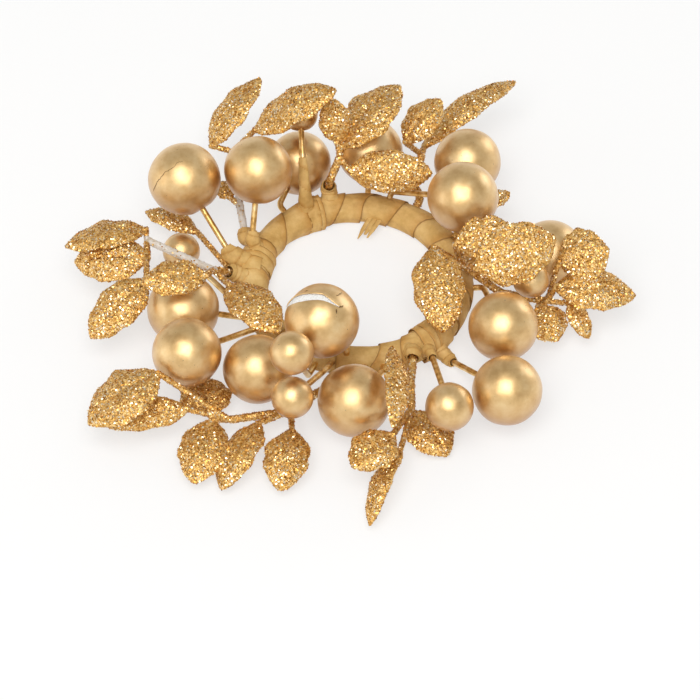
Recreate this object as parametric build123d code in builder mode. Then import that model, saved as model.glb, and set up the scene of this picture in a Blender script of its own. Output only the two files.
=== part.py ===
from build123d import *
from collections import namedtuple
from math import cos, radians, sin
import os

# Ring: a wire core bound with overlapping turns of crepe tape, all in millimetres
hole_diameter = 20.5
bundle_diameter = 3.3
core_diameter = 1.0
core_gap = 0.05
tape_turns = 20
tape_slant = 28
tape_overlap = 0.35
lap_step = 0.25
knot_step = 0.35
knot_turns = (6, 9, 17)
rest_cut = 0.5

# Loose end of the tape, at the back of the hole
tail_angle = 77
tail_length = 2.6
tail_curl = 10
tail_thickness = 0.3
tail_widths = (1.8, 1.7, 1.0)

# Berry wires, and the pockets in the tape that hold all stems
wire_diameter = 0.7
wire_bend = 0.8
stem_diameter = 1.1
stem_bend = 0.7
pocket_clearance = 0.3
pocket_wall = 0.2
root_gap = 0.25
glue_gap = 0.05

# Berries
large_berry = 8.4
small_berry = 4.8

# Leaves
stalk_diameter = 0.8
stalk_lap = 0.3
leaf_thickness = 0.5
edge_share = 0.7
leaf_arch = 0.12
leaf_dome = 0.25

bundle_radius = bundle_diameter / 2
high_lap = bundle_radius + lap_step / 2
low_lap = bundle_radius - lap_step / 2
ring_radius = hole_diameter / 2 + high_lap
ring_height = high_lap - rest_cut
pocket_floor = core_diameter / 2 + core_gap + pocket_wall
root_depth = pocket_floor + root_gap

# One berry on its wire: where the wire leaves the ring (degrees round it from the right, lift above level,
# millimetres past the tape to its bend), then its heading, rise and free length, and the berry's share of
# its full size
Pick = namedtuple("Pick", "root lift reach heading rise free share")

large_picks = (
    Pick(169, 33, 1.8, 130, 36, 6.0, 1.02),
    Pick(159, 70, 1.2, 82, 49, 4.0, 0.96),
    Pick(128, 20, 1.2, 65, 19, 2.0, 0.91),
    Pick(84, 30, 0.6, 86, 41, 0.6, 0.93),
    Pick(46, 20, 1.2, 59, 29, 2.6, 0.95),
    Pick(72, 55, 0.8, 324, 28, 7.4, 1.0),
    Pick(207, 30, 1.2, 183, 15, 3.0, 1.0),
    Pick(217, 40, 1.2, 222, 20, 7.2, 0.95),
    Pick(229, 20, 1.0, 253, 26, 2.3, 0.95),
    Pick(265, 80, 1.2, 217, 64, 3.6, 1.02),
    Pick(283, 20, 0.8, 243, 18, 3.8, 1.0),
    Pick(356, 10, 1.2, 281, 24, 7.2, 0.96),
    Pick(314, -12, 2.0, 306, 24, 7.5, 0.96),
    Pick(16, 20, 1.2, 345, 14, 5.0, 0.95),
)
small_picks = (
    Pick(119, 85, 3.0, 94, 31, 6.8, 0.88),
    Pick(190, 5, 1.0, 133, 7, 6.6, 0.92),
    Pick(250, 14, 2.4, 254, 60, 10.0, 1.04),
    Pick(258, 36, 2.6, 243, 24, 7.1, 1.0),
    Pick(306, 30, 1.2, 280, 16, 8.9, 1.16),
    Pick(9, 40, 1.2, 311, 24, 7.9, 0.9),
)

# One leaf of a spray: the bend of the stem that it grows from, its stalk and its blade, each as heading, rise
# and length, then the blade's width and its roll about its own length
Leaf = namedtuple("Leaf", "bend stalk blade width roll")
Spray = namedtuple("Spray", "root lift legs leaves")
stem_reach = 1.2

sprays = {
    "back_left": Spray(151, 5, ((101, 23, 3.8), (97, 18, 7.2)), (
        Leaf(2, (172, 12, 2.7), (51, 24, 10.1), 5.0, 20),
        Leaf(2, (323, 60, 6.7), (2, 33, 11.4), 5.8, -4),
        Leaf(1, (150, 33, 1.4), (128, 19, 2.5), 2.4, 0),
    )),
    "back": Spray(104, 60, ((278, 62, 3.2), (58, 41, 2.9)), (
        Leaf(2, (82, 37, 1.2), (43, 21, 10.2), 6.8, 14),
        Leaf(2, (307, -21, 1.9), (355, 2, 9.8), 5.0, -40),
        Leaf(2, (106, 47, 1.8), (100, 50, 5.2), 3.8, 0),
    )),
    "back_right": Spray(58, 30, ((121, 26, 2.0), (74, 13, 4.0)), (
        Leaf(2, (203, 55, 3.8), (44, 27, 6.6), 4.6, 0),
        Leaf(2, (81, -15, 1.9), (36, 12, 13.9), 4.2, 12),
    )),
    "right": Spray(28, 50, ((271, 5, 6.0), (312, 4, 6.5), (355, -10, 5.5)), (
        Leaf(1, (200, 50, 5.6), (276, -15, 11.0), 6.0, -5),
        Leaf(1, (210, 75, 4.1), (4, 12, 7.5), 5.2, -35),
        Leaf(1, (282, 44, 8.7), (17, 13, 9.8), 7.4, -35),
        Leaf(3, (62, 57, 4.9), (4, 16, 6.0), 5.0, -30),
        Leaf(3, (357, 72, 2.6), (357, -6, 9.3), 5.2, -15),
        Leaf(3, (229, 20, 1.8), (300, -24, 4.7), 5.0, 0),
        Leaf(3, (344, 11, 2.6), (301, -24, 4.8), 2.6, 0),
        Leaf(0, (50, 10, 4.1), (25, 10, 3.7), 2.6, 0),
    )),
    "front_right": Spray(298, 45, ((265, 1, 4.3), (270, -8, 3.8)), (
        Leaf(1, (162, 63, 5.0), (270, 2, 11.8), 3.2, 30),
        Leaf(2, (250, 21, 6.5), (223, -7, 6.3), 5.6, 0),
        Leaf(2, (259, 2, 6.0), (250, -10, 10.6), 3.0, -30),
        Leaf(2, (43, -70, 0.9), (305, -10, 6.8), 5.4, 0),
    )),
    "front_left": Spray(274, 20, ((202, -7, 5.7), (224, 3, 4.5), (195, 5, 7.1)), (
        Leaf(2, (274, 13, 3.6), (261, -8, 8.1), 5.2, 0),
        Leaf(2, (214, 9, 4.3), (245, -7, 9.7), 4.6, -15),
        Leaf(3, (195, 16, 2.1), (257, -9, 8.5), 5.6, 0),
        Leaf(3, (150, -14, 2.6), (103, -5, 6.2), 6.0, 0),
        Leaf(3, (179, 21, 4.9), (184, -8, 10.3), 3.8, 25),
        Leaf(3, (164, 33, 9.9), (210, -21, 9.7), 7.6, -8),
    )),
    "left": Spray(179, 35, ((219, 40, 3.7), (155, 8, 8.6)), (
        Leaf(2, (95, 51, 1.2), (191, -6, 9.5), 5.0, -10),
        Leaf(2, (275, 6, 3.1), (172, -13, 8.9), 5.8, 20),
        Leaf(2, (272, 9, 7.3), (222, -23, 9.3), 5.2, 10),
        Leaf(1, (266, 44, 8.5), (193, 3, 7.5), 4.6, 12),
        Leaf(0, (122, -4, 8.1), (153, 1, 6.9), 3.0, 0),
        Leaf(1, (301, 16, 4.0), (307, 3, 9.8), 5.4, 0),
    )),
}

# Share of a blade's full width at shares of its length, from the stalk to the tip
blade_outline = ((0.0, 0.2), (0.12, 0.62), (0.35, 1.0), (0.62, 0.95), (0.84, 0.6), (1.0, 0.06))


def direction(heading, rise):
    """Unit vector at a plan heading from the right and a rise above level, in degrees."""
    level = cos(radians(rise))
    return Vector(level * cos(radians(heading)), level * sin(radians(heading)), sin(radians(rise)))


def ring_point(angle):
    """Point on the ring's centre line."""
    return direction(angle, 0) * ring_radius + Vector(0, 0, ring_height)


def turn_plane(angle):
    """Plane across the ring that leans with the tape's slant."""
    return Plane(ring_point(angle), x_dir=direction(angle, 0), z_dir=direction(angle + 90, tape_slant))


def save(solid, node):
    """Label one solid and write its file."""
    solid.label = node
    export_step(solid, f"parts/{node}.step")


def blade_crescent(half_width):
    """Domed section of a blade, thinner at its two drooping edges."""
    underside = -leaf_thickness / 2
    edge_drop = leaf_dome * half_width
    edge_bottom = underside - edge_drop
    edge_top = edge_bottom + leaf_thickness * edge_share
    with BuildLine() as crescent:
        ThreePointArc((-half_width, edge_bottom), (0, underside), (half_width, edge_bottom))
        Line((half_width, edge_bottom), (half_width, edge_top))
        ThreePointArc((half_width, edge_top), (0, leaf_thickness / 2), (-half_width, edge_top))
        Line((-half_width, edge_top), (-half_width, edge_bottom))
    make_face(crescent.edges())


def blade_planes(base, leaf):
    """Planes across a blade's arched midrib, with the share of full width at each."""
    heading, rise, length = leaf.blade
    along = direction(heading, rise)
    level_side = direction(heading - 90, 0)
    level_face = level_side.cross(along)
    side = level_side * cos(radians(leaf.roll)) + level_face * sin(radians(leaf.roll))
    face = side.cross(along)
    planes = []
    for station, fullness in blade_outline:
        bow = 4 * leaf_arch * station * (1 - station)
        slope = 4 * leaf_arch * (1 - 2 * station)
        origin = base + (along * station + face * bow) * length
        planes.append((Plane(origin, x_dir=side * -1, z_dir=along + face * slope), fullness))
    return planes


os.makedirs("parts", exist_ok=True)

# Core wire of the ring
with BuildPart() as core_wire:
    with Locations((0, 0, ring_height)):
        Torus(ring_radius, core_diameter / 2)
save(core_wire.part, "ring_core_wire")

# Tape: each turn starts over the turn before it and dives under the next one
turn_angle = 360 / tape_turns
with BuildPart() as tape_wrap:
    for turn in range(tape_turns):
        raised = knot_step if turn in knot_turns else 0
        for share in (0, 0.5, 1):
            radius = high_lap + raised - (high_lap - low_lap) * share
            with BuildSketch(turn_plane((turn + share * (1 + tape_overlap)) * turn_angle)):
                Ellipse(radius, radius / cos(radians(tape_slant)))
        loft()
    inward = direction(tail_angle, 0) * -1
    tail_start = ring_point(tail_angle) + inward * (bundle_radius - tail_thickness)
    tail_step = tail_length / (len(tail_widths) - 1)
    for step, width in enumerate(tail_widths):
        droop = Vector(0, 0, -tail_thickness) * step
        downward = direction(tail_angle + 180, -tail_curl * step)
        crosswise = direction(tail_angle - 90, 0)
        tail_point = tail_start + inward * tail_step * step + droop
        with BuildSketch(Plane(tail_point, x_dir=crosswise, z_dir=downward)):
            Rectangle(width, tail_thickness)
    loft()
    with Locations((0, 0, ring_height)):
        Torus(ring_radius, core_diameter / 2 + core_gap, mode=Mode.SUBTRACT)
    split(bisect_by=Plane.XY, keep=Keep.TOP)
    stem_roots = [(pick.root, pick.lift, wire_diameter) for pick in large_picks + small_picks]
    stem_roots += [(spray.root, spray.lift, stem_diameter) for spray in sprays.values()]
    for root, lift, diameter in stem_roots:
        outward = direction(root, lift)
        with BuildSketch(Plane(ring_point(root) + outward * pocket_floor, z_dir=outward)):
            Circle(diameter / 2 + pocket_clearance)
        extrude(amount=bundle_diameter, mode=Mode.SUBTRACT)
save(tape_wrap.part, "tape_wrap")

# Berries on their wires
for kind, diameter, picks in (("large", large_berry, large_picks), ("small", small_berry, small_picks)):
    for number, pick in enumerate(picks, start=1):
        outward = direction(pick.root, pick.lift)
        onward = direction(pick.heading, pick.rise)
        radius = diameter * pick.share / 2
        bend = ring_point(pick.root) + outward * (bundle_radius + pick.reach)
        centre = bend + onward * (pick.free + radius)
        with BuildPart() as wire:
            with BuildLine() as wire_path:
                FilletPolyline(ring_point(pick.root) + outward * root_depth, bend, centre, radius=wire_bend)
            with BuildSketch(Plane(wire_path.line @ 0, z_dir=wire_path.line % 0)):
                Circle(wire_diameter / 2)
            sweep()
        save(wire.part, f"{kind}_berry_wire_{number:02d}")
        with BuildPart() as berry:
            with Locations(Plane(centre, z_dir=onward)):
                Sphere(radius)
            with BuildSketch(Plane(centre + onward * glue_gap, z_dir=onward * -1)):
                Circle(wire_diameter / 2 + glue_gap)
            extrude(amount=radius + wire_diameter, mode=Mode.SUBTRACT)
        save(berry.part, f"{kind}_berry_{number:02d}")

# Leaf sprays, each one moulding
for place, spray in sprays.items():
    outward = direction(spray.root, spray.lift)
    bends = [ring_point(spray.root) + outward * (bundle_radius + stem_reach)]
    for heading, rise, length in spray.legs:
        bends.append(bends[-1] + direction(heading, rise) * length)
    with BuildPart() as moulding:
        with BuildLine() as stem_path:
            FilletPolyline(ring_point(spray.root) + outward * root_depth, *bends, radius=stem_bend)
        with BuildSketch(Plane(stem_path.line @ 0, z_dir=stem_path.line % 0)):
            Circle(stem_diameter / 2)
        sweep()
        for leaf in spray.leaves:
            heading, rise, length = leaf.stalk
            base = bends[leaf.bend] + direction(heading, rise) * length
            with BuildSketch(Plane(bends[leaf.bend], z_dir=direction(heading, rise))):
                Circle(stalk_diameter / 2)
            extrude(amount=length + stalk_lap)
            for plane, fullness in blade_planes(base, leaf):
                with BuildSketch(plane):
                    blade_crescent(leaf.width / 2 * fullness)
            loft()
    save(moulding.part, f"leaf_spray_{place}")
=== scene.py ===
import math
import bmesh
import bpy
import numpy as np
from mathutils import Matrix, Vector, noise


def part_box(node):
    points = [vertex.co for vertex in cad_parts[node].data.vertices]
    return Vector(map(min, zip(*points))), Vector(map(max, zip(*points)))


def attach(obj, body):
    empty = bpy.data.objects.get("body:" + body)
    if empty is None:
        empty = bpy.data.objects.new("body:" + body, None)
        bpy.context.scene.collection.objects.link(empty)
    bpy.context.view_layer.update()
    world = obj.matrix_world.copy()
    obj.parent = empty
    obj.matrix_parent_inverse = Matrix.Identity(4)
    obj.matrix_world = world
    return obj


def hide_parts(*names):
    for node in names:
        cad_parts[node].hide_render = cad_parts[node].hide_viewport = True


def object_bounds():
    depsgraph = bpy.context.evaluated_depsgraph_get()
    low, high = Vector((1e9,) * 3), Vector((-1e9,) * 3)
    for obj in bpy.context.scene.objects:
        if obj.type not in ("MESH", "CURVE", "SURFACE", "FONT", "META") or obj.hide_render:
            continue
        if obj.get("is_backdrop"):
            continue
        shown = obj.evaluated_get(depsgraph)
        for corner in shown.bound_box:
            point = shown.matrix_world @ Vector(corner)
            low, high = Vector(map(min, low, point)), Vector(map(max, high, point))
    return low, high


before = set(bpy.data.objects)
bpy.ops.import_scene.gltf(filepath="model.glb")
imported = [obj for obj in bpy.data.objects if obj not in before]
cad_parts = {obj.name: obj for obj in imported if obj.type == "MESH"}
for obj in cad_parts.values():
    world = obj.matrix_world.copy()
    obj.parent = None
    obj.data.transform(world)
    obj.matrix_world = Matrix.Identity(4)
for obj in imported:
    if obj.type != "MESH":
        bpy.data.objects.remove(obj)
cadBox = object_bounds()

mm = 0.001
fullWave = 6.28  # about one turn in radians, for ripples and their random phases
anySide = (0.3, 0.2, 1.0)  # a direction that no stem starts along
mixFactor, mixFirst, mixSecond, mixResult = 0, 6, 7, 2  # sockets of a Mix node that mixes colours
scene = bpy.context.scene
scene.view_settings.view_transform = "Standard"


# small helpers

def linear(hexColour):  # sRGB hex to linear RGBA
    parts = [int(hexColour[i:i + 2], 16) / 255 for i in (1, 3, 5)]
    return [c / 12.92 if c <= 0.04045 else ((c + 0.055) / 1.055) ** 2.4 for c in parts] + [1.0]


def addNode(tree, kind, settings=None, links=None):  # a node with its settings, its inputs linked
    node = tree.nodes.new(kind)
    for key, value in (settings or {}).items():
        if key == "ramp":
            while len(node.color_ramp.elements) < len(value):
                node.color_ramp.elements.new(1.0)
            for element, (place, colour) in zip(node.color_ramp.elements, value):
                element.position = place
                element.color = linear(colour)
        elif isinstance(key, int) or key in node.inputs:
            node.inputs[key].default_value = value
        else:
            setattr(node, key, value)
    for key, output in (links or {}).items():
        tree.links.new(output, node.inputs[key])
    return node


def newMaterial(name, settings):  # a material with these values on its shader
    material = bpy.data.materials.new(name)
    material.use_nodes = True
    tree = material.node_tree
    shader = tree.nodes["Principled BSDF"]
    for key, value in settings.items():
        shader.inputs[key].default_value = value
    return material, tree, shader


def perMm(size):  # texture scale for a feature of that many millimetres
    return 1000.0 / size


def direction(heading, rise):  # unit vector, degrees from the right and above level
    level = math.cos(math.radians(rise))
    return np.array([level * math.cos(math.radians(heading)), level * math.sin(math.radians(heading)),
                     math.sin(math.radians(rise))])


def unit(rows):  # each row at length one
    return rows / np.linalg.norm(rows, axis=1)[:, None]


def dashed(name):
    return name.replace("_", "-")


def gridFaces(rows, columns):  # quads between rows of points
    index = np.arange(rows * columns).reshape(rows, columns)
    return np.stack([index[:-1, :-1], index[:-1, 1:], index[1:, 1:], index[1:, :-1]], axis=-1).reshape(-1, 4)


def tubeFaces(first, rows, sides):  # quads between closed loops of points
    faces = []
    for row in range(rows - 1):
        for side in range(sides):
            a, b = first + row * sides + side, first + row * sides + (side + 1) % sides
            faces.append((a, b, b + sides, a + sides))
    return faces


def roundedWay(points, radius, count=6, limit=0.45):  # a way through the points with its corners eased
    points = [np.array(p, float) for p in points]
    way = [points[0]]
    for before, corner, after in zip(points, points[1:], points[2:]):
        back, ahead = before - corner, after - corner
        ease = min(radius, np.linalg.norm(back) * limit, np.linalg.norm(ahead) * limit)
        start = corner + back / np.linalg.norm(back) * ease
        end = corner + ahead / np.linalg.norm(ahead) * ease
        for t in np.linspace(0, 1, count):
            way.append((1 - t) ** 2 * start + 2 * t * (1 - t) * corner + t * t * end)
    way.append(points[-1])
    return np.array(way)


def stemFrames(way):  # each point of a way, with two directions across it that don't twist
    ahead = unit(np.gradient(way, axis=0))
    across = np.cross(ahead[0], anySide)
    for point, tangent in zip(way, ahead):
        across = across - tangent * (across @ tangent)
        across /= np.linalg.norm(across)
        yield point, across, np.cross(tangent, across)


def meshPiece(name, verts, faces, materials, body, replaced=(), smooth=True):
    mesh = bpy.data.meshes.new(name)
    mesh.from_pydata([tuple(v) for v in verts], [], [tuple(int(i) for i in f) for f in faces])
    mesh.validate()
    obj = bpy.data.objects.new(name, mesh)
    scene.collection.objects.link(obj)
    for material in materials:
        mesh.materials.append(material)
    mesh.polygons.foreach_set("use_smooth", [smooth] * len(mesh.polygons))
    mesh.update()
    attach(obj, body)
    if replaced:
        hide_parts(*replaced)
    return obj


# camera, light and floor

shot = {"target": (-0.70, -6.09, -3.56), "place": (-0.70, -334.15, 373.8), "lens": 220.8, "sensor": 36,
        "nearest": 0.01}
cameraData = bpy.data.cameras.new("photoCamera")
cameraData.lens = shot["lens"]
cameraData.sensor_width = shot["sensor"]
cameraData.clip_start = shot["nearest"]
camera = bpy.data.objects.new("photoCamera", cameraData)
scene.collection.objects.link(camera)
camera.location = Vector(shot["place"]) * mm
aim = (Vector(shot["target"]) - Vector(shot["place"])).normalized()
camera.rotation_euler = aim.to_track_quat("-Z", "Y").to_euler()
scene.camera = camera

studio = {  # heading, rise, distance in metres, size in metres, watts
    "overheadSoftbox": (258, 60, 0.60, 0.46, 2.6),
    "rightRearPanel": (40, 16, 0.45, 0.20, 0.24),
    "leftPanel": (193, 14, 0.45, 0.30, 0.24),
}
for lampName, (heading, rise, distance, size, watts) in studio.items():
    lampData = bpy.data.lights.new(lampName, "AREA")
    lampData.energy = watts
    lampData.size = size
    lamp = bpy.data.objects.new(lampName, lampData)
    scene.collection.objects.link(lamp)
    lamp.location = Vector(direction(heading, rise) * distance)
    lamp.rotation_euler = (-lamp.location).to_track_quat("-Z", "Y").to_euler()

coveTones = [(0.0, "#F4F3F1"), (0.2, "#DEDDDB"), (0.6, "#B2B1AF")]  # pale at the horizon, dimmer overhead
world = bpy.data.worlds.new("whiteCove")
scene.world = world
world.use_nodes = True
worldTree = world.node_tree
skyCoords = addNode(worldTree, "ShaderNodeTexCoord")
skyHeight = addNode(worldTree, "ShaderNodeSeparateXYZ", links={"Vector": skyCoords.outputs["Generated"]})
skyRamp = addNode(worldTree, "ShaderNodeValToRGB", {"ramp": coveTones}, {"Fac": skyHeight.outputs["Z"]})
worldTree.links.new(skyRamp.outputs[0], worldTree.nodes["Background"].inputs["Color"])

card = {"colour": "#F6F6F5", "roughness": 0.9, "whiteShare": 0.58, "half": 3}  # half its side in metres
floorPaint, floorTree, floorShader = newMaterial(  # matt card, no texture to compete with the object
    "whiteCard", {"Base Color": linear(card["colour"]), "Roughness": card["roughness"]})
rays = addNode(floorTree, "ShaderNodeLightPath")
seenRays = addNode(floorTree, "ShaderNodeMath", {"operation": "ADD"},
                   {0: rays.outputs["Is Camera Ray"], 1: rays.outputs["Is Glossy Ray"]})
allRays = addNode(floorTree, "ShaderNodeMath", {"operation": "ADD", "use_clamp": True},
                  {0: seenRays.outputs[0], 1: rays.outputs["Is Transmission Ray"]})
whiteShare = addNode(floorTree, "ShaderNodeMath", {"operation": "MULTIPLY", 1: card["whiteShare"]},
                     {0: allRays.outputs[0]})
glow = addNode(floorTree, "ShaderNodeEmission", {"Color": (1, 1, 1, 1), "Strength": 1.0})
floorMix = addNode(floorTree, "ShaderNodeMixShader", links={  # white sweep, the shadow still on it
    "Fac": whiteShare.outputs[0], 1: floorShader.outputs[0], 2: glow.outputs[0]})
floorTree.links.new(floorMix.outputs[0], floorTree.nodes["Material Output"].inputs["Surface"])
floorCorners = [(x * card["half"], y * card["half"], 0) for x, y in ((-1, -1), (1, -1), (1, 1), (-1, 1))]
floorMesh = bpy.data.meshes.new("floor")
floorMesh.from_pydata(floorCorners, [], [(0, 1, 2, 3)])
floorMesh.materials.append(floorPaint)
floor = bpy.data.objects.new("floor", floorMesh)
scene.collection.objects.link(floor)
floor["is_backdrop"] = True
print("camera, light and floor set")


# materials

def sprayedGoldPaint():  # satin gold lacquer sprayed on foam: broad soft highlights, mottling, dust specks; painted shade on the underside
    material, tree, shader = newMaterial("sprayedGoldPaint", {
        "Metallic": 0.95, "Coat Weight": 0.8, "Coat IOR": 2.0, "Coat Roughness": 0.34})
    place = addNode(tree, "ShaderNodeTexCoord").outputs["Object"]
    cloud = addNode(tree, "ShaderNodeTexNoise", {"Scale": perMm(1.6), "Detail": 4.0, "Roughness": 0.6},
                    {"Vector": place})
    golds = [(0.3, "#D6A960"), (0.5, "#E5BD79"), (0.7, "#EFCD90")]
    tint = addNode(tree, "ShaderNodeValToRGB", {"ramp": golds}, {"Fac": cloud.outputs["Fac"]})
    surface = addNode(tree, "ShaderNodeNewGeometry")
    facing = addNode(tree, "ShaderNodeSeparateXYZ", links={"Vector": surface.outputs["Normal"]})
    paintedShadeUnderneath = addNode(tree, "ShaderNodeMapRange",
                    {"From Min": 0.45, "From Max": -0.6, "To Min": 0.0, "To Max": 0.85},
                    {"Value": facing.outputs["Z"]})
    # painted shade: the base colour turns a darker, browner gold as the surface faces down, for the shade
    # under each ball
    tintWithPaintedShade = addNode(tree, "ShaderNodeMix", {"data_type": "RGBA", mixSecond: linear("#A86A22")},
                      {mixFactor: paintedShadeUnderneath.outputs[0], mixFirst: tint.outputs[0]})
    dust = addNode(tree, "ShaderNodeTexNoise", {"Scale": perMm(0.22), "Detail": 2.0}, {"Vector": place})
    specks = addNode(tree, "ShaderNodeValToRGB", {"ramp": [(0.735, "#000000"), (0.76, "#FFFFFF")]},
                     {"Fac": dust.outputs["Fac"]})
    dirty = addNode(tree, "ShaderNodeMix", {"data_type": "RGBA", mixSecond: linear("#7A5220")},
                    {mixFactor: specks.outputs[0], mixFirst: tintWithPaintedShade.outputs[mixResult]})
    tree.links.new(dirty.outputs[mixResult], shader.inputs["Base Color"])
    sheen = addNode(tree, "ShaderNodeMapRange",
                    {"From Min": 0.3, "From Max": 0.7, "To Min": 0.38, "To Max": 0.46},
                    {"Value": cloud.outputs["Fac"]})
    tree.links.new(sheen.outputs[0], shader.inputs["Roughness"])
    peel = addNode(tree, "ShaderNodeTexNoise", {"Scale": perMm(0.35), "Detail": 3.0},
                   {"Vector": place})  # orange peel
    bump = addNode(tree, "ShaderNodeBump", {"Strength": 0.22, "Distance": 0.03 * mm},
                   {"Height": peel.outputs["Fac"]})
    tree.links.new(bump.outputs[0], shader.inputs["Normal"])
    return material


def crepePaper():  # waxed crepe floral tape: matt, finely crinkled, browner along the edge of each turn
    material, tree, shader = newMaterial("waxedCrepePaper", {"Roughness": 0.62, "Specular IOR Level": 0.35})
    place = addNode(tree, "ShaderNodeTexCoord").outputs["Object"]
    strip = addNode(tree, "ShaderNodeUVMap", {"uv_map": "strip"}).outputs[0]
    patches = addNode(tree, "ShaderNodeTexNoise", {"Scale": perMm(2.2), "Detail": 5.0, "Roughness": 0.62},
                      {"Vector": place})
    tans = [(0.3, "#BF9552"), (0.5, "#D6AF6A"), (0.7, "#E6C484")]
    tint = addNode(tree, "ShaderNodeValToRGB", {"ramp": tans}, {"Fac": patches.outputs["Fac"]})
    across = addNode(tree, "ShaderNodeSeparateXYZ", links={"Vector": strip})
    edgeBrowns = [(0.0, "#9A6E30"), (0.04, "#DDBD82"), (0.3, "#FFFFFF")]
    worn = addNode(tree, "ShaderNodeValToRGB", {"ramp": edgeBrowns}, {"Fac": across.outputs["Y"]})
    edged = addNode(tree, "ShaderNodeMix", {"data_type": "RGBA", "blend_type": "MULTIPLY", mixFactor: 0.6},
                    {mixFirst: tint.outputs[0], mixSecond: worn.outputs[0]})
    tree.links.new(edged.outputs[mixResult], shader.inputs["Base Color"])
    # the winding's own coordinates run in millimetres along it, with about three crinkles in each
    crinkle = addNode(tree, "ShaderNodeTexNoise", {"Scale": 3.0, "Detail": 4.0, "Roughness": 0.7},
                      {"Vector": strip})
    fibre = addNode(tree, "ShaderNodeTexNoise", {"Scale": perMm(0.25), "Detail": 3.0}, {"Vector": place})
    height = addNode(tree, "ShaderNodeMath", {"operation": "ADD"},
                     {0: crinkle.outputs["Fac"], 1: fibre.outputs["Fac"]})
    bump = addNode(tree, "ShaderNodeBump", {"Strength": 0.5, "Distance": 0.08 * mm},
                   {"Height": height.outputs[0]})
    tree.links.new(bump.outputs[0], shader.inputs["Normal"])
    return material


def lacqueredWire():  # drawn steel wire dipped in gold lacquer: brighter than the berries, with drips
    material, tree, shader = newMaterial("lacqueredGoldWire", {"Metallic": 0.9, "Roughness": 0.33})
    place = addNode(tree, "ShaderNodeTexCoord").outputs["Object"]
    drips = addNode(tree, "ShaderNodeTexNoise", {"Scale": perMm(0.9), "Detail": 3.0}, {"Vector": place})
    golds = [(0.32, "#B98B4A"), (0.48, "#E4BB72"), (0.7, "#F4DBAA")]
    tint = addNode(tree, "ShaderNodeValToRGB", {"ramp": golds}, {"Fac": drips.outputs["Fac"]})
    tree.links.new(tint.outputs[0], shader.inputs["Base Color"])
    bump = addNode(tree, "ShaderNodeBump", {"Strength": 0.4, "Distance": 0.06 * mm},
                   {"Height": drips.outputs["Fac"]})
    tree.links.new(bump.outputs[0], shader.inputs["Normal"])
    return material


def glitterBed():  # glue with fine grains that shows between the larger flakes: dark gold and rough
    material, tree, shader = newMaterial("glitterGlueBed", {"Metallic": 0.55, "Roughness": 0.45})
    place = addNode(tree, "ShaderNodeTexCoord").outputs["Object"]
    grains = addNode(tree, "ShaderNodeTexVoronoi", {"Scale": perMm(0.24)}, {"Vector": place})
    golds = [(0.1, "#B98139"), (0.45, "#DBA856"), (0.8, "#F2CC86")]
    tint = addNode(tree, "ShaderNodeValToRGB", {"ramp": golds}, {"Fac": grains.outputs["Color"]})
    tree.links.new(tint.outputs[0], shader.inputs["Base Color"])
    bump = addNode(tree, "ShaderNodeBump", {"Strength": 0.8, "Distance": 0.12 * mm},
                   {"Height": grains.outputs["Distance"]})
    tree.links.new(bump.outputs[0], shader.inputs["Normal"])
    return material


def glitterFlake():  # metallised polyester flakes: each a tiny mirror of its own gold, a few nearly white
    material, tree, shader = newMaterial("metallisedGlitterFlake", {"Metallic": 1.0, "Roughness": 0.28})
    chance = addNode(tree, "ShaderNodeNewGeometry").outputs["Random Per Island"]
    golds = [(0.0, "#B87C31"), (0.45, "#E3B060"), (0.7, "#F8D494"), (0.78, "#FFE9BE"), (1.0, "#FFF7E0")]
    tint = addNode(tree, "ShaderNodeValToRGB", {"ramp": golds}, {"Fac": chance})
    tree.links.new(tint.outputs[0], shader.inputs["Base Color"])
    return material


def milkyPlastic():  # bare moulded polyethylene: whitish, waxy, light passes through the thin parts
    material, tree, shader = newMaterial("milkyPolyethylene", {
        "Roughness": 0.32, "IOR": 1.51, "Transmission Weight": 0.25})
    place = addNode(tree, "ShaderNodeTexCoord").outputs["Object"]
    flow = addNode(tree, "ShaderNodeTexNoise", {"Scale": perMm(0.8), "Detail": 3.0}, {"Vector": place})
    tint = addNode(tree, "ShaderNodeValToRGB", {"ramp": [(0.35, "#DCCDB8"), (0.6, "#EEE8E0")]},
                   {"Fac": flow.outputs["Fac"]})
    tree.links.new(tint.outputs[0], shader.inputs["Base Color"])
    bump = addNode(tree, "ShaderNodeBump", {"Strength": 0.3, "Distance": 0.05 * mm},
                   {"Height": flow.outputs["Fac"]})
    tree.links.new(bump.outputs[0], shader.inputs["Normal"])
    return material


def foamCore():  # moulded white foam seen in a split: matt, with small open cells
    material, tree, shader = newMaterial("mouldedWhiteFoam", {"Roughness": 0.85})
    place = addNode(tree, "ShaderNodeTexCoord").outputs["Object"]
    cells = addNode(tree, "ShaderNodeTexVoronoi", {"Scale": perMm(0.25)}, {"Vector": place})
    tint = addNode(tree, "ShaderNodeValToRGB", {"ramp": [(0.0, "#D6D3CD"), (0.6, "#EBEAE7")]},
                   {"Fac": cells.outputs["Distance"]})
    tree.links.new(tint.outputs[0], shader.inputs["Base Color"])
    bump = addNode(tree, "ShaderNodeBump", {"Strength": 0.5, "Distance": 0.06 * mm},
                   {"Height": cells.outputs["Distance"]})
    tree.links.new(bump.outputs[0], shader.inputs["Normal"])
    return material


def paintedCrackShade():  # painted shade: a dark brown, matt strip laid over a hairline in the paint, for the shade inside the crack
    material, tree, shader = newMaterial("crackShadow", {"Roughness": 0.8})
    place = addNode(tree, "ShaderNodeTexCoord").outputs["Object"]
    crackShadeMottle = addNode(tree, "ShaderNodeTexNoise", {"Scale": perMm(0.3)}, {"Vector": place})
    tint = addNode(tree, "ShaderNodeValToRGB", {"ramp": [(0.3, "#5A3B18"), (0.7, "#8A6632")]},
                   {"Fac": crackShadeMottle.outputs["Fac"]})
    tree.links.new(tint.outputs[0], shader.inputs["Base Color"])
    return material


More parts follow.
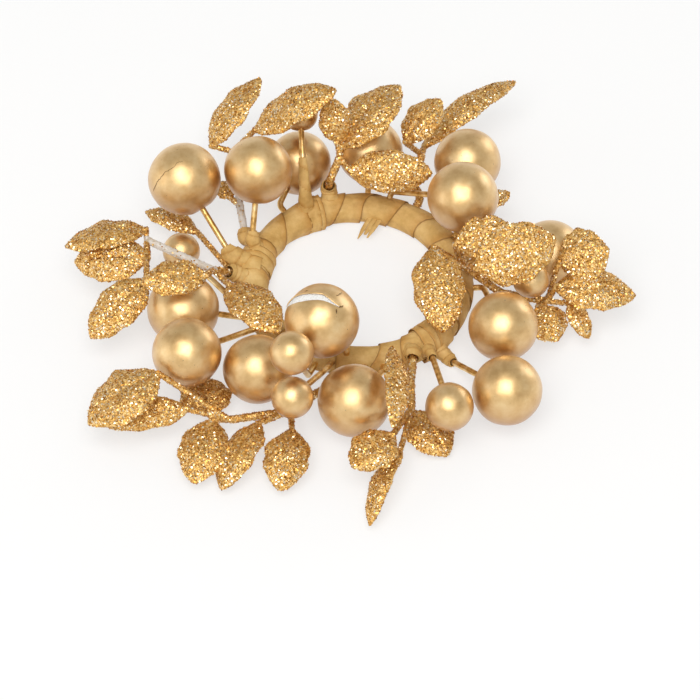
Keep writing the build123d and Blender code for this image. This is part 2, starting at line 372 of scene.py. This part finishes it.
goldPaint, crepe, wireGold, crackShadow = sprayedGoldPaint(), crepePaper(), lacqueredWire(), paintedCrackShade()
bed, flake, plastic, foam = glitterBed(), glitterFlake(), milkyPlastic(), foamCore()
print("materials made")


# tape: one strip wound round the ring, each turn over the edge of the turn before it

tape = {
    "ringRadius": 12.025, "ringHeight": 1.275, "bundle": 1.65, "turns": 20, "width": 1.35, "high": 1.76,
    "low": 1.54, "thickness": 0.07, "turnLength": 10.4, "startAround": -100, "stepsPerTurn": 96,
    "stepsAcross": 14,
    "edgeWander": 0.09, "wanderWaves": (4.1, 9.7),  # radians for each turn
    "crinkle": 0.035, "foldWaves": ((1.0, 61, 5, 23, 0), (0.7, 37, -7, 3, 5)),  # share, along, across, twice
    "restHeight": 0.03, "restSlope": 0.12,  # pressed flat where the ring rests
    "knots": {6: 0.3, 9: 0.32, 17: 0.32},  # turn and height
    "knotMiddle": 0.6, "knotShare": 0.7, "knotSpread": 9, "seed": 3, "knotSeed": 20,
}


def bundleMiddle(angle):  # middle of the bundle at an angle round the ring
    return direction(angle, 0) * tape["ringRadius"] + np.array([0, 0, tape["ringHeight"]])


def skinSpot(angle, around, radius):  # spots on the bundle's skin, degrees round the ring and the bundle
    angle, around = np.radians(angle), np.radians(around)
    reach = tape["ringRadius"] + radius * np.cos(around)
    return np.stack([reach * np.cos(angle), reach * np.sin(angle),
                     tape["ringHeight"] + radius * np.sin(around)], axis=-1)


def paperStrip(obj, runs, thickness, offset=-1):  # the strip's own coordinates and the paper's thickness
    layer = obj.data.uv_layers.new(name="strip")
    corners = np.zeros(len(obj.data.loops), dtype=np.int32)
    obj.data.loops.foreach_get("vertex_index", corners)
    layer.data.foreach_set("uv", np.array(runs)[corners].astype(np.float32).ravel())
    solid = obj.modifiers.new("paperThickness", "SOLIDIFY")
    solid.thickness = thickness * mm
    solid.offset = offset


def windStrip(name, start, turns, pitch, width, high, low, raised, seed, replaced=()):
    along = np.linspace(0, turns, int(turns * tape["stepsPerTurn"]) + 1)[:, None]
    across = np.linspace(0, 1, tape["stepsAcross"] + 1)[None, :]
    phases = np.random.default_rng(seed).uniform(0, fullWave, 6)
    wander = sum(np.sin(along * waves + phase) for waves, phase in zip(tape["wanderWaves"], phases))
    angle = start + pitch * (along + tape["edgeWander"] * wander * (1 - across)) + width * across
    around = 360 * along + tape["startAround"] + 0 * across
    folds = 0
    for row, (share, alongA, acrossA, alongB, acrossB) in enumerate(tape["foldWaves"], start=1):
        foldA = np.sin(along * alongA + across * acrossA + phases[2 * row])
        foldB = np.sin(along * alongB + across * acrossB + phases[2 * row + 1])
        folds = folds + share * foldA * foldB
    radius = high - (high - low) * across + raised(angle) + tape["crinkle"] * folds
    points = skinSpot(angle, around, radius)
    points[..., 2] = np.maximum(points[..., 2], tape["restHeight"] + tape["restSlope"] * across)
    obj = meshPiece(name, points.reshape(-1, 3) * mm, gridFaces(*angle.shape), [crepe], "ring",
                    replaced)
    runs = np.stack([along * tape["turnLength"] + 0 * across, across + 0 * along], axis=-1)
    paperStrip(obj, runs.reshape(-1, 2), tape["thickness"], offset=0)


def knotRise(angle):  # the tape swells where several stems come out together
    rise = 0 * angle
    for turn, height in tape["knots"].items():
        middle = (turn + tape["knotMiddle"]) * 360 / tape["turns"]
        away = (angle - middle + 180) % 360 - 180
        rise = rise + height * tape["knotShare"] * np.exp(-(away / tape["knotSpread"]) ** 2)
    return rise


pitch = 360 / tape["turns"]
windStrip("tapeWinding", 0, tape["turns"], pitch, pitch * tape["width"], tape["high"], tape["low"], knotRise,
          tape["seed"], ["tape_wrap", "ring_core_wire"])
knotWindings = {  # start angle, turns, degrees per turn, width in degrees, radius at the upper and lower edge
    "tapeKnotLeft": (158, 2.6, 4.0, 9.0, 2.12, 1.98),
    "tapeKnotBack": (108, 2.3, 3.0, 8.0, 2.08, 1.95),
    "tapeKnotFront": (304, 2.6, 4.5, 9.0, 2.12, 1.98),
}
for seed, (name, (start, turns, step, width, high, low)) in enumerate(knotWindings.items(), tape["knotSeed"]):
    windStrip(name, start, turns, step, width, high, low, lambda angle: 0 * angle, seed)

sleeve = {
    "start": 1.1, "bendRadius": 0.8, "rows": 44, "sides": 40, "turns": 3.2, "ledge": 0.07, "fineness": 3,
    "fold": 0.09, "foldFade": 0.6, "foldWaves": ((1.0, 2, 7), (0.6, 5, -9)),  # share, waves round and along
    "seed": 40,
}
sleeves = {  # root, lift and reach of a stem, its next heading, rise and length under tape, radii on the way
    "large_pick_01": (169, 33, 1.8, 130, 36, 1.1, (1.35, 1.15, 0.6)),
    "large_pick_02": (159, 70, 1.2, 82, 49, 0.9, (0.95, 0.75, 0.5)),
    "spray_back_left": (151, 5, 1.2, 101, 23, 0.9, (1.15, 0.95, 0.7)),
    "spray_left": (179, 35, 1.2, 219, 40, 0.8, (1.15, 0.95, 0.7)),
    "small_pick_01": (119, 85, 3.0, 94, 31, 3.6, (1.1, 0.62, 0.46)),
    "spray_back": (104, 60, 1.2, 278, 62, 0.8, (1.1, 0.9, 0.7)),
    "large_pick_13": (314, -12, 2.0, 306, 24, 0.7, (1.05, 0.75, 0.5)),
    "small_pick_05": (306, 30, 1.2, 280, 16, 1.4, (0.9, 0.7, 0.5)),
    "spray_front_right": (298, 45, 1.2, 265, 1, 0.9, (1.05, 0.9, 0.7)),
}


def tapeSleeve(body, seed):  # tape that runs a little way up a stem, in narrowing turns
    root, lift, reach, heading, rise, length, radii = sleeves[body]
    phases = np.random.default_rng(seed).uniform(0, fullWave, len(sleeve["foldWaves"]))
    centre, outward = bundleMiddle(root), direction(root, lift)
    bend = centre + outward * (tape["bundle"] + reach)
    end = bend + direction(heading, rise) * length
    corners = roundedWay([centre + outward * sleeve["start"], bend, end], sleeve["bendRadius"])
    gone = np.concatenate([[0], np.cumsum(np.linalg.norm(np.diff(corners, axis=0), axis=1))])
    shares = np.linspace(0, 1, sleeve["rows"])
    way = np.stack([np.interp(shares * gone[-1], gone, corners[:, axis]) for axis in range(3)], axis=1)
    bendShare = (tape["bundle"] + reach - sleeve["start"]) / gone[-1]
    verts, runs = [], []
    for share, (point, across, other) in zip(shares, stemFrames(way)):
        radius = np.interp(share, (0, bendShare, 1), radii)
        for side in range(sleeve["sides"]):
            turn = 2 * math.pi * side / sleeve["sides"]
            wound = (sleeve["turns"] * share + side / sleeve["sides"]) % 1  # each turn laps the one below
            folds = sum(part * math.sin(waves * turn + climb * share + phase)
                        for (part, waves, climb), phase in zip(sleeve["foldWaves"], phases))
            folded = radius * (1 + sleeve["fold"] * folds * (1 - sleeve["foldFade"] * share))
            here = folded + sleeve["ledge"] * (1 - wound)
            verts.append(point + here * (across * math.cos(turn) + other * math.sin(turn)))
            runs.append((share * gone[-1] * sleeve["fineness"], wound))  # finer crinkles than on the ring
    verts = np.array(verts)
    verts[:, 2] = np.maximum(verts[:, 2], tape["restHeight"])
    obj = meshPiece(f"tapeSleeve-{dashed(body)}", verts * mm, tubeFaces(0, sleeve["rows"], sleeve["sides"]),
                    [crepe], body)
    paperStrip(obj, runs, tape["thickness"])


for seed, body in enumerate(sleeves, sleeve["seed"]):
    tapeSleeve(body, seed)

tail = {
    "angle": 77, "rootDepth": 1.5, "length": 3.0, "width": 1.8, "thickness": 0.06, "steps": 16, "lean": -1.0,
    "reaches": (1.0, 0.8, 0.93), "taper": 0.15, "narrowFrom": 0.62, "narrowBy": 0.7,  # frayed into fingers
    "lift": 0.1, "drop": 0.8, "dropPower": 1.6, "wave": 0.1, "waves": 6, "waveShift": 1.3, "cup": 0.05,
    "fineness": 3, "stripPlace": 0.4,
}


def tapeTail():  # loose frayed end that hangs into the hole
    inward, sideways = -direction(tail["angle"], 0), direction(tail["angle"] - 90, 0)
    startPoint = bundleMiddle(tail["angle"]) + inward * tail["rootDepth"]
    verts, faces = [], []
    fingers, steps, edges = len(tail["reaches"]), tail["steps"], (-1, 0, 1)
    for finger, reach in enumerate(tail["reaches"]):
        left, right = finger / fingers, (finger + 1) / fingers
        middle = (left + right) / 2 - 0.5
        faces.extend(gridFaces(steps + 1, len(edges)) + len(verts))
        for step in range(steps + 1):
            s = step / steps * reach
            narrow = 1 - tail["narrowBy"] * max(0, (s - tail["narrowFrom"]) / (1 - tail["narrowFrom"]))
            wave = tail["wave"] * math.sin(tail["waves"] * s + finger * tail["waveShift"]) * s
            sag = tail["lift"] - tail["drop"] * s ** tail["dropPower"] + wave
            for edge in edges:
                offset = middle + edge * narrow * (right - left) / 2
                aside = sideways * (offset * tail["width"] * (1 - tail["taper"] * s) + tail["lean"] * s)
                height = np.array([0, 0, sag + tail["cup"] * abs(edge)])
                verts.append(startPoint + inward * tail["length"] * s + aside + height)
    obj = meshPiece("tapeTail", np.array(verts) * mm, faces, [crepe], "ring")
    paperStrip(obj, [(v @ inward * tail["fineness"], tail["stripPlace"]) for v in verts], tail["thickness"])


tapeTail()
print("tape wound")


# berries: foam balls in gold paint, with a dimple of glue where the wire goes in

berry = {
    "kinds": {"large": 14, "small": 6}, "level": 5, "dimple": 0.3, "dimpleWidth": 0.75, "unevenness": 0.012,
    "lumps": ((1.0, 1.6), (0.4, 4.5)),  # share and waves
    "seedShift": (3.1, 1.7, 0.9),  # so that no two berries have the same lumps
    "clearOfBall": 1.05, "entryDepth": 0.4,  # where the wire leaves the ball
}
viewRise = math.radians(49)  # the photo looks down on the ring at this angle
cameraRight = np.array([1.0, 0, 0])
cameraUp = np.array([0, math.sin(viewRise), math.cos(viewRise)])
cameraBack = np.cross(cameraRight, cameraUp)
splits = {  # edges of a split over the ball as the photo shows it, right and up in radii; heights in mm
    "large_berry_10": {
        "upper": ((-0.93, 0.36), (-0.72, 0.62), (-0.45, 0.7), (-0.2, 0.71), (0.04, 0.68), (0.27, 0.5),
                  (0.46, 0.36)),
        "lower": ((-0.94, 0.32), (-0.72, 0.46), (-0.45, 0.52), (-0.2, 0.55), (0.04, 0.53), (0.22, 0.46),
                  (0.45, 0.35)),
        "count": 120, "foamRows": 9, "foamLift": 0.012,
        "lip": 0.15, "lipFoot": 0.03, "lipWidth": 0.28, "shoulder": 0.75, "shoulderPlace": 0.3, "sunk": -0.02,
        "wideOpen": 0.12, "leastLip": 0.15},  # the lip stands full where the split is this wide, in radii
}
hairline = {"count": 40, "wiggle": 0.012, "half": 0.04, "tip": 0.4, "lift": 0.015}
hairlines = {
    "large_berry_01": [((-0.83, -0.36), (-0.7, -0.08), (-0.5, 0.15), (-0.28, 0.26), (-0.16, 0.42),
                        (-0.02, 0.45))],
    "large_berry_10": [((-0.46, 0.77), (-0.41, 0.8), (-0.38, 0.8)), ((0.39, 0.65), (0.46, 0.7), (0.53, 0.75)),
                       ((0.38, 0.28), (0.385, 0.2)), ((0.46, 0.36), (0.52, 0.365), (0.56, 0.39)),
                       # the last line lies along the split's upper edge: painted shadow under the lifted lip
                       ((-0.92, 0.36), (-0.72, 0.605), (-0.45, 0.685), (-0.2, 0.695), (0.04, 0.665),
                        (0.27, 0.485), (0.46, 0.35))],
}


def onBall(right, up):  # direction from a ball's middle to a spot seen in the photo
    back = math.sqrt(max(0.0, 1 - right * right - up * up))
    spot = cameraRight * right + cameraUp * up + cameraBack * back
    return spot / np.linalg.norm(spot)


def wayPoints(way, count):  # more points along a way over the ball
    spots = np.array([onBall(*spot) for spot in way])
    places = np.linspace(0, len(way) - 1, count)
    return unit(np.stack([np.interp(places, range(len(way)), spots[:, axis]) for axis in range(3)], axis=1))


def wireSide(node, middle, radius):  # direction from the ball's middle to where its wire goes in
    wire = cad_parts[node.replace("berry_", "berry_wire_")]
    spots = np.array([v.co for v in wire.data.vertices]) - middle
    far = np.linalg.norm(spots, axis=1)
    outside = spots[far > radius * berry["clearOfBall"]]
    near = np.linalg.norm(outside, axis=1)
    entry = outside[near < near.min() + berry["entryDepth"] * mm].mean(axis=0)
    return entry / np.linalg.norm(entry)


def ballSkin(spots, radius, seed):  # distance from the middle to the uneven skin
    shift = Vector([seed * step for step in berry["seedShift"]])
    lumps = np.array([sum(share * noise.noise(Vector(s) * waves + shift) for share, waves in berry["lumps"])
                      for s in spots])
    return radius * (1 - berry["unevenness"] + berry["unevenness"] * np.clip(lumps, -1, 1))


def makeSplit(node, body, middle, radius, seed):  # foam between the edges, and the upper edge lifted as a lip
    split = splits[node]
    upper, lower = wayPoints(split["upper"], split["count"]), wayPoints(split["lower"], split["count"])
    width = np.linalg.norm(upper - lower, axis=1)
    crown = unit(upper + cameraUp * split["lipWidth"])
    shoulder = upper * (1 - split["shoulderPlace"]) + crown * split["shoulderPlace"]
    lipShare = np.clip(width / split["wideOpen"], split["leastLip"], 1)
    bands = {  # rows from edge to edge, and how high each row stands over the skin
        "foam": ([lower + (upper - lower) * share for share in np.linspace(0, 1, split["foamRows"])],
                 [split["foamLift"]] * split["foamRows"], foam),
        "shell": ([upper, upper, shoulder, crown],
                  [split["lipFoot"] * lipShare, split["lip"] * lipShare,
                   split["lip"] * split["shoulder"] * lipShare, split["sunk"]], goldPaint),
    }
    for part, (rows, heights, material) in bands.items():
        verts = []
        for row, height in zip(map(unit, rows), heights):
            verts.append(middle + row * (ballSkin(row, radius, seed) + height * mm)[:, None])
        meshPiece(f"{dashed(node)}-split-{part}", np.concatenate(verts), gridFaces(len(rows), split["count"]),
                  [material], body)


def makeHairline(node, body, middle, radius, seed, number, way):  # a painted shadow line along a crack in the paint, thinning out
    line = wayPoints(way, hairline["count"])
    line = unit(line + np.random.default_rng(seed + number).normal(0, hairline["wiggle"], line.shape))
    sideways = unit(np.cross(line, np.gradient(line, axis=0)))
    half = hairline["half"] * mm * np.linspace(1, hairline["tip"], len(line))[:, None]
    spots = middle + line * (ballSkin(line, radius, seed) + hairline["lift"] * mm)[:, None]
    verts = np.concatenate([spots - sideways * half, spots + sideways * half])
    meshPiece(f"{dashed(node)}-hairline-{number + 1}", verts, gridFaces(2, len(line)), [crackShadow], body)


def makeBerry(node, body, seed):
    lowest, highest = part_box(node)
    middle = np.array((lowest + highest) / 2)
    radius = max(highest - lowest) / 2
    bm = bmesh.new()
    bmesh.ops.create_icosphere(bm, subdivisions=berry["level"], radius=1.0)
    spots = unit(np.array([v.co for v in bm.verts]))
    faces = np.array([[v.index for v in f.verts] for f in bm.faces])
    bm.free()
    entry = wireSide(node, middle, radius)
    away = np.arccos(np.clip(spots @ entry, -1, 1)) * radius / mm
    dimple = berry["dimple"] * mm * np.exp(-(away / berry["dimpleWidth"]) ** 2)
    size = ballSkin(spots, radius, seed) - dimple
    meshPiece(f"{dashed(node)}-ball", middle + spots * size[:, None], faces, [goldPaint], body,
              [node])
    if node in splits:
        makeSplit(node, body, middle, radius, seed)
    for number, way in enumerate(hairlines.get(node, ())):
        makeHairline(node, body, middle, radius, seed, number, way)


seed = 0
for kind, count in berry["kinds"].items():
    for number in range(1, count + 1):
        seed += 1
        makeBerry(f"{kind}_berry_{number:02d}", f"{kind}_pick_{number:02d}", seed)
        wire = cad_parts[f"{kind}_berry_wire_{number:02d}"]
        wire.data.materials.clear()
        wire.data.materials.append(wireGold)
        wire.data.polygons.foreach_set("use_smooth", [True] * len(wire.data.polygons))
print("berries painted")


# leaf sprays: moulded stems and blades under a coat of glitter

leaf = {
    "rootDepth": 1.0, "stemReach": 1.2, "stem": 0.46, "stalk": 0.33, "stalkLap": 0.3, "stalkSteps": 6,
    "bendRadius": 0.7, "stations": 30, "columns": 12, "thickness": 0.34, "edgeShare": 0.6, "arch": 0.12,
    "dome": 0.25, "rib": 0.1, "ribWidth": 0.16, "ribTip": 0.4, "ripple": 0.05, "ripplePower": 3,
    "lobes": (1.6, 2.6), "edgeWave": 0.05, "edgeWaves": 3, "voxel": 0.13, "soften": 2, "grain": 0.05,
    "grainWaves": 3.2, "seedStep": 40,
}
leafOutline = (  # place along the blade, share of its half width
    (0.0, 0.16), (0.05, 0.38), (0.12, 0.64), (0.22, 0.87), (0.35, 0.99), (0.5, 1.0), (0.62, 0.96),
    (0.74, 0.84), (0.84, 0.67), (0.92, 0.44), (0.97, 0.23), (1.0, 0.07),
)
glitter = {"perSquareMm": 24, "smallest": 0.07, "largest": 0.15, "oval": 0.8, "tilt": 0.31, "lift": 0.03,
           "sides": 5, "seedShift": 90}

# root angle and lift; legs as heading, rise, length; leaves as their bend, stalk, blade, width and roll
sprays = {
    "back_left": (151, 5, ((101, 23, 3.8), (97, 18, 7.2)), (
        (2, (172, 12, 2.7), (51, 24, 10.1), 5.0, 20),
        (2, (323, 60, 6.7), (2, 33, 11.4), 5.8, -4),
        (1, (150, 33, 1.4), (128, 19, 2.5), 2.4, 0))),
    "back": (104, 60, ((278, 62, 3.2), (58, 41, 2.9)), (
        (2, (82, 37, 1.2), (43, 21, 10.2), 6.8, 14),
        (2, (307, -21, 1.9), (355, 2, 9.8), 5.0, -40),
        (2, (106, 47, 1.8), (100, 50, 5.2), 3.8, 0))),
    "back_right": (58, 30, ((121, 26, 2.0), (74, 13, 4.0)), (
        (2, (203, 55, 3.8), (44, 27, 6.6), 4.6, 0),
        (2, (81, -15, 1.9), (36, 12, 13.9), 4.2, 12))),
    "right": (28, 50, ((271, 5, 6.0), (312, 4, 6.5), (355, -10, 5.5)), (
        (1, (200, 50, 5.6), (276, -15, 11.0), 6.0, -5),
        (1, (210, 75, 4.1), (4, 12, 7.5), 5.2, -35),
        (1, (282, 44, 8.7), (17, 13, 9.8), 7.4, -35),
        (3, (62, 57, 4.9), (4, 16, 6.0), 5.0, -30),
        (3, (357, 72, 2.6), (357, -6, 9.3), 5.2, -15),
        (3, (229, 20, 1.8), (300, -24, 4.7), 5.0, 0),
        (3, (344, 11, 2.6), (301, -24, 4.8), 2.6, 0),
        (0, (50, 10, 4.1), (25, 10, 3.7), 2.6, 0))),
    "front_right": (298, 45, ((265, 1, 4.3), (270, -8, 3.8)), (
        (1, (162, 63, 5.0), (270, 2, 11.8), 3.2, 30),
        (2, (250, 21, 6.5), (223, -7, 6.3), 5.6, 0),
        (2, (259, 2, 6.0), (250, -10, 10.6), 3.0, -30),
        (2, (43, -70, 0.9), (305, -10, 6.8), 5.4, 0))),
    "front_left": (274, 20, ((202, -7, 5.7), (224, 3, 4.5), (195, 5, 7.1)), (
        (2, (274, 13, 3.6), (261, -8, 8.1), 5.2, 0),
        (2, (214, 9, 4.3), (245, -7, 9.7), 4.6, -15),
        (3, (195, 16, 2.1), (257, -9, 8.5), 5.6, 0),
        (3, (150, -14, 2.6), (103, -5, 6.2), 6.0, 0),
        (3, (179, 21, 4.9), (184, -8, 10.3), 3.8, 25),
        (3, (164, 33, 9.9), (210, -21, 9.7), 7.6, -8))),
    "left": (179, 35, ((219, 40, 3.7), (155, 8, 8.6)), (
        (2, (95, 51, 1.2), (191, -6, 9.5), 5.0, -10),
        (2, (275, 6, 3.1), (172, -13, 8.9), 5.8, 20),
        (2, (272, 9, 7.3), (222, -23, 9.3), 5.2, 10),
        (1, (266, 44, 8.5), (193, 3, 7.5), 4.6, 12),
        (0, (122, -4, 8.1), (153, 1, 6.9), 3.0, 0),
        (1, (301, 16, 4.0), (307, 3, 9.8), 5.4, 0))),
}
widthShares = {("right", 2): 0.96, ("right", 3): 1.35, ("back", 0): 1.08}  # of the width in the table
bare = {  # legs that the glitter missed, bend to bend, their width in stem radii, the glitter left on them
    "legs": {"back_left": ((0, 1), (1, 2)), "left": ((1, 2),)}, "reach": 1.3, "glitter": 0.12,
}


def addTube(verts, faces, way, radius, sides=12):
    first, rows = len(verts), len(way)
    for point, across, other in stemFrames(way):
        for side in range(sides):
            turn = 2 * math.pi * side / sides
            verts.append(point + radius * (across * math.cos(turn) + other * math.sin(turn)))
    faces.extend(tubeFaces(first, rows, sides))
    faces.append(tuple(first + side for side in reversed(range(sides))))
    faces.append(tuple(first + (rows - 1) * sides + side for side in range(sides)))


def addBlade(verts, faces, base, blade, width, roll, seed):  # arched and domed, sunk midrib, waved edges
    local = np.random.default_rng(seed)
    heading, rise, length = blade
    along = direction(heading, rise)
    levelSide = direction(heading - 90, 0)
    levelFace = np.cross(levelSide, along)
    side = levelSide * math.cos(math.radians(roll)) + levelFace * math.sin(math.radians(roll))
    face = np.cross(side, along)
    phases = local.uniform(0, fullWave, 4)
    lobes = local.uniform(*leaf["lobes"])
    places, shares = zip(*leafOutline)
    columns = np.linspace(-1, 1, leaf["columns"] + 1)
    first, ring = len(verts), 2 * len(columns)
    for s in np.linspace(0, 1, leaf["stations"]):
        half = width / 2 * np.interp(s, places, shares)
        bow = 4 * leaf["arch"] * s * (1 - s)
        slope = 4 * leaf["arch"] * (1 - 2 * s)
        ribShare = leaf["ribTip"] + (1 - leaf["ribTip"]) * (1 - s)  # the midrib fades towards the tip
        middle = base + (along * s + face * bow) * length
        normal = face - along * slope
        normal /= np.linalg.norm(normal)
        for up, order in ((1, columns), (-1, columns[::-1])):
            for v in order:
                ripple = leaf["ripple"] * half * abs(v) ** leaf["ripplePower"]
                wave = ripple * math.sin(fullWave * lobes * s + phases[0 if v > 0 else 1])
                rib = leaf["rib"] * half * math.exp(-(v / leaf["ribWidth"]) ** 2) * ribShare
                drop = leaf["dome"] * half * v * v + rib
                thick = leaf["thickness"] / 2 * (1 - (1 - leaf["edgeShare"]) * v * v)
                edgeWave = math.sin(fullWave * leaf["edgeWaves"] * s + phases[2 if v > 0 else 3])
                edge = half * v * (1 + leaf["edgeWave"] * edgeWave)
                verts.append(middle + side * edge + normal * (up * thick - drop + wave))
    faces.extend((a, d, c, b) for a, b, c, d in tubeFaces(first, leaf["stations"], ring))
    faces.append(tuple(first + i for i in range(ring)))
    faces.append(tuple(first + (leaf["stations"] - 1) * ring + i for i in reversed(range(ring))))


def fuseMoulding(verts, faces):  # stem, stalks and blades as one moulding: its points, normals and faces
    rough = bpy.data.meshes.new("roughSpray")
    rough.from_pydata([tuple(v) for v in verts], [], faces)
    mould = bpy.data.objects.new("roughSpray", rough)
    scene.collection.objects.link(mould)
    fuse = mould.modifiers.new("fuse", "REMESH")
    fuse.mode = "VOXEL"
    fuse.voxel_size = leaf["voxel"]
    soften = mould.modifiers.new("soften", "SMOOTH")
    soften.iterations = leaf["soften"]
    fused = bpy.data.meshes.new_from_object(mould.evaluated_get(bpy.context.evaluated_depsgraph_get()))
    bpy.data.objects.remove(mould)
    spots, normals = np.zeros(len(fused.vertices) * 3), np.zeros(len(fused.vertices) * 3)
    fused.vertices.foreach_get("co", spots)
    fused.vertices.foreach_get("normal", normals)
    polygons = [tuple(p.vertices) for p in fused.polygons]
    bpy.data.meshes.remove(fused)
    return spots.reshape(-1, 3), normals.reshape(-1, 3), polygons


def bareFaces(place, bends, centres):  # 1 for each face on a leg that the glitter missed
    missed = np.zeros(len(centres), dtype=np.int32)
    for start, end in bare["legs"].get(place, ()):
        a, b = bends[start], bends[end]
        share = np.clip((centres - a) @ (b - a) / ((b - a) @ (b - a)), 0, 1)
        gap = np.linalg.norm(centres - (a + share[:, None] * (b - a)), axis=1)
        missed |= (gap < leaf["stem"] * bare["reach"]).astype(np.int32)
    return missed


def glitterSpots(spots, polygons, missed, seed):  # random places on the faces, and the way each one faces
    local = np.random.default_rng(seed)
    triangles = [(p[0], p[i], p[i + 1]) for p in polygons for i in range(1, len(p) - 1)]
    owner = np.array([n for n, p in enumerate(polygons) for _ in range(1, len(p) - 1)])
    corners = spots[np.array(triangles)]
    cross = np.cross(corners[:, 1] - corners[:, 0], corners[:, 2] - corners[:, 0])
    areas = np.linalg.norm(cross, axis=1) / 2
    chance = areas * np.where(missed[owner] == 1, bare["glitter"], 1.0)
    picked = local.choice(len(areas), int(chance.sum() * glitter["perSquareMm"]), p=chance / chance.sum())
    u, v = local.random(len(picked)), local.random(len(picked))
    over = u + v > 1
    u[over], v[over] = 1 - u[over], 1 - v[over]
    origin, second, third = corners[picked].swapaxes(0, 1)
    points = origin + (second - origin) * u[:, None] + (third - origin) * v[:, None]
    facing = unit(cross[picked])
    return points + facing * glitter["lift"], facing


def scatterFlakes(name, points, normals, body, seed):
    local = np.random.default_rng(seed)
    count, sides = len(points), glitter["sides"]
    normals = unit(normals + local.normal(0, glitter["tilt"], normals.shape))
    across = unit(np.cross(normals, local.normal(0, 1, normals.shape)))
    other = np.cross(normals, across)
    size = local.uniform(glitter["smallest"], glitter["largest"], (count, 1))
    corners = []
    for side in range(sides):
        turn = 2 * math.pi * side / sides
        corners.append(points + size * (across * math.cos(turn) + glitter["oval"] * other * math.sin(turn)))
    verts = np.stack(corners, axis=1).reshape(-1, 3)
    faces = np.arange(count * sides).reshape(count, sides)
    meshPiece(name, verts * mm, faces, [flake], body, smooth=False)


def makeSpray(place, seed):
    root, lift, legs, leaves = sprays[place]
    node, body = f"leaf_spray_{place}", f"spray_{place}"
    centre, outward = bundleMiddle(root), direction(root, lift)
    bends = [centre + outward * (tape["bundle"] + leaf["stemReach"])]
    for heading, rise, length in legs:
        bends.append(bends[-1] + direction(heading, rise) * length)
    verts, faces = [], []
    stemWay = roundedWay([centre + outward * leaf["rootDepth"], *bends], leaf["bendRadius"])
    addTube(verts, faces, stemWay, leaf["stem"])
    for number, (bend, (heading, rise, length), blade, width, roll) in enumerate(leaves):
        start = bends[bend]
        base = start + direction(heading, rise) * length
        end = base + direction(heading, rise) * leaf["stalkLap"]
        stalkWay = np.array([start + (end - start) * t for t in np.linspace(0, 1, leaf["stalkSteps"])])
        addTube(verts, faces, stalkWay, leaf["stalk"])
        bladeWidth = width * widthShares.get((place, number), 1.0)
        addBlade(verts, faces, base, blade, bladeWidth, roll, seed * leaf["seedStep"] + number)
    spots, normals, polygons = fuseMoulding(verts, faces)
    grain = np.array([noise.noise(Vector(s) * leaf["grainWaves"]) for s in spots])  # lumps of glue
    spots = spots + normals * (leaf["grain"] * grain)[:, None]
    missed = bareFaces(place, bends, np.array([spots[list(p)].mean(axis=0) for p in polygons]))
    obj = meshPiece(f"leafMoulding-{dashed(place)}", spots * mm, polygons, [bed, plastic], body,
                    [node])
    obj.data.polygons.foreach_set("material_index", missed)
    points, facing = glitterSpots(spots, polygons, missed, seed)
    scatterFlakes(f"glitter-{dashed(place)}", points, facing, body, seed + glitter["seedShift"])
    print("spray", place, len(polygons), "faces", len(points), "flakes")


for seed, place in enumerate(sprays, start=1):
    makeSpray(place, seed)

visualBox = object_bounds()
print("box", [[round(c * 1000, 2) for c in corner] for corner in (*cadBox, *visualBox)])
